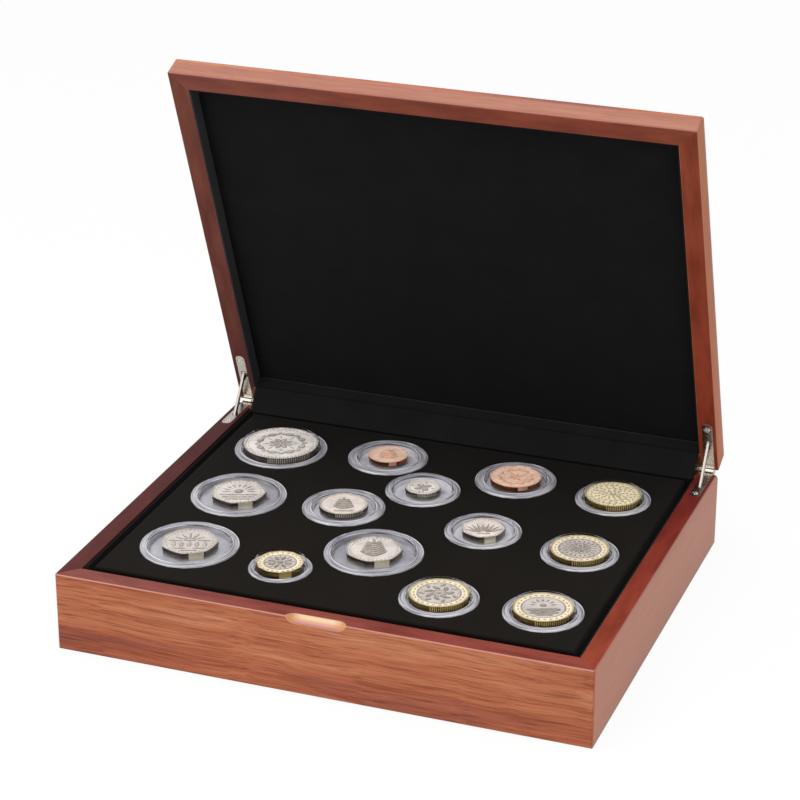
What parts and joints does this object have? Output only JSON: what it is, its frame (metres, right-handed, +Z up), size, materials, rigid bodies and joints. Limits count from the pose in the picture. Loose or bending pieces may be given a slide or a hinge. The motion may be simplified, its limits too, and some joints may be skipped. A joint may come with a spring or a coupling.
{
  "type": "coin presentation case",
  "caption": "Open wooden presentation case on stay hinges, with a black lining and a lift-out tray of capsuled coins.",
  "frame": {"origin": "middle of the underside of the base", "axes": "+X to the right along the case's width, +Y from the front to the hinge side, +Z up"},
  "size_m": [0.265, 0.2295, 0.2486],
  "materials": {
    "veneered_wood": "red-brown veneer under satin lacquer",
    "board": "fibreboard, stained black",
    "baize": "black baize",
    "velvet": "short black velvet",
    "flock": "black flock on a stiff board",
    "nickel": "bright nickel plate",
    "clear_plastic": "clear, polished",
    "coin_silver": "silver-coloured, polished field",
    "coin_gold": "gold-coloured, polished field",
    "coin_copper": "copper-coloured, polished field"
  },
  "bodies": {
    "base": {"base_front_wall": "veneered_wood", "base_back_wall": "veneered_wood", "base_left_wall": "veneered_wood", "base_right_wall": "veneered_wood", "base_floor": "board", "base_baize": "baize", "base_lining": "velvet", "tray_rests": "board", "base_flap": "velvet", "left_base_leaf": "nickel", "right_base_leaf": "nickel", "base_leaf_screws": "nickel", "hinge_pins": "nickel"},
    "lid": {"lid_front_rail": "veneered_wood", "lid_back_rail": "veneered_wood", "lid_left_rail": "veneered_wood", "lid_right_rail": "veneered_wood", "lid_panel": "veneered_wood", "lid_pad": "velvet", "lid_lining": "velvet", "lid_flap": "velvet", "left_lid_leaf": "nickel", "right_lid_leaf": "nickel", "lid_leaf_screws": "nickel", "stay_rivets": "nickel"},
    "left_stay": {"left_stay_arm": "nickel"},
    "right_stay": {"right_stay_arm": "nickel"},
    "tray": {"tray_board": "flock"},
    "large_silver_capsule": {"large_silver_capsule": "clear_plastic", "large_silver_coin": "coin_silver"},
    "small_copper_capsule": {"small_copper_capsule": "clear_plastic", "small_copper_coin": "coin_copper"},
    "large_copper_capsule": {"large_copper_capsule": "clear_plastic", "large_copper_coin": "coin_copper"},
    "gold_capsule": {"gold_capsule": "clear_plastic", "gold_coin": "coin_gold"},
    "left_heptagon_capsule": {"left_heptagon_capsule": "clear_plastic", "left_heptagon_coin": "coin_silver"},
    "mid_silver_capsule": {"mid_silver_capsule": "clear_plastic", "mid_silver_coin": "coin_silver"},
    "small_silver_capsule": {"small_silver_capsule": "clear_plastic", "small_silver_coin": "coin_silver"},
    "small_heptagon_capsule": {"small_heptagon_capsule": "clear_plastic", "small_heptagon_coin": "coin_silver"},
    "right_two_metal_capsule": {"right_two_metal_capsule": "clear_plastic", "right_two_metal_coin_ring": "coin_gold", "right_two_metal_coin_core": "coin_silver"},
    "front_heptagon_capsule": {"front_heptagon_capsule": "clear_plastic", "front_heptagon_coin": "coin_silver"},
    "twelve_sided_capsule": {"twelve_sided_capsule": "clear_plastic", "twelve_sided_coin_ring": "coin_gold", "twelve_sided_coin_core": "coin_silver"},
    "centre_heptagon_capsule": {"centre_heptagon_capsule": "clear_plastic", "centre_heptagon_coin": "coin_silver"},
    "front_two_metal_capsule": {"front_two_metal_capsule": "clear_plastic", "front_two_metal_coin_ring": "coin_gold", "front_two_metal_coin_core": "coin_silver"},
    "corner_two_metal_capsule": {"corner_two_metal_capsule": "clear_plastic", "corner_two_metal_coin_ring": "coin_gold", "corner_two_metal_coin_core": "coin_silver"}
  },
  "joints": [
    {"name": "lid_hinge", "type": "hinge", "parent": "base", "child": "lid", "pos_m": [0, 0.1097, 0.04], "axis": [-1, 0, 0], "range_deg": [-69.2, 0]},
    {"name": "left_stay_pivot", "type": "hinge", "parent": "lid", "child": "left_stay", "pos_m": [-0.12769, 0.1048, 0.05796], "axis": [-1, 0, 0], "range_deg": [0, 34.6]},
    {"name": "right_stay_pivot", "type": "hinge", "parent": "lid", "child": "right_stay", "pos_m": [0.12769, 0.1048, 0.05796], "axis": [-1, 0, 0], "range_deg": [0, 34.6]},
    {"name": "tray_lift", "type": "slide", "parent": "base", "child": "tray", "axis": [0, 0, 1], "range_m": [0, 0.03]},
    {"name": "large_silver_lift", "type": "slide", "parent": "tray", "child": "large_silver_capsule", "axis": [0, 0, 1], "range_m": [0, 0.012]},
    {"name": "small_copper_lift", "type": "slide", "parent": "tray", "child": "small_copper_capsule", "axis": [0, 0, 1], "range_m": [0, 0.012]},
    {"name": "large_copper_lift", "type": "slide", "parent": "tray", "child": "large_copper_capsule", "axis": [0, 0, 1], "range_m": [0, 0.012]},
    {"name": "gold_lift", "type": "slide", "parent": "tray", "child": "gold_capsule", "axis": [0, 0, 1], "range_m": [0, 0.012]},
    {"name": "left_heptagon_lift", "type": "slide", "parent": "tray", "child": "left_heptagon_capsule", "axis": [0, 0, 1], "range_m": [0, 0.012]},
    {"name": "mid_silver_lift", "type": "slide", "parent": "tray", "child": "mid_silver_capsule", "axis": [0, 0, 1], "range_m": [0, 0.012]},
    {"name": "small_silver_lift", "type": "slide", "parent": "tray", "child": "small_silver_capsule", "axis": [0, 0, 1], "range_m": [0, 0.012]},
    {"name": "small_heptagon_lift", "type": "slide", "parent": "tray", "child": "small_heptagon_capsule", "axis": [0, 0, 1], "range_m": [0, 0.012]},
    {"name": "right_two_metal_lift", "type": "slide", "parent": "tray", "child": "right_two_metal_capsule", "axis": [0, 0, 1], "range_m": [0, 0.012]},
    {"name": "front_heptagon_lift", "type": "slide", "parent": "tray", "child": "front_heptagon_capsule", "axis": [0, 0, 1], "range_m": [0, 0.012]},
    {"name": "twelve_sided_lift", "type": "slide", "parent": "tray", "child": "twelve_sided_capsule", "axis": [0, 0, 1], "range_m": [0, 0.012]},
    {"name": "centre_heptagon_lift", "type": "slide", "parent": "tray", "child": "centre_heptagon_capsule", "axis": [0, 0, 1], "range_m": [0, 0.012]},
    {"name": "front_two_metal_lift", "type": "slide", "parent": "tray", "child": "front_two_metal_capsule", "axis": [0, 0, 1], "range_m": [0, 0.012]},
    {"name": "corner_two_metal_lift", "type": "slide", "parent": "tray", "child": "corner_two_metal_capsule", "axis": [0, 0, 1], "range_m": [0, 0.012]}
  ],
  "couplings": [
    {"joint": "left_stay_pivot", "follows": "lid_hinge", "ratio": -0.5},
    {"joint": "right_stay_pivot", "follows": "lid_hinge", "ratio": -0.5}
  ]
}
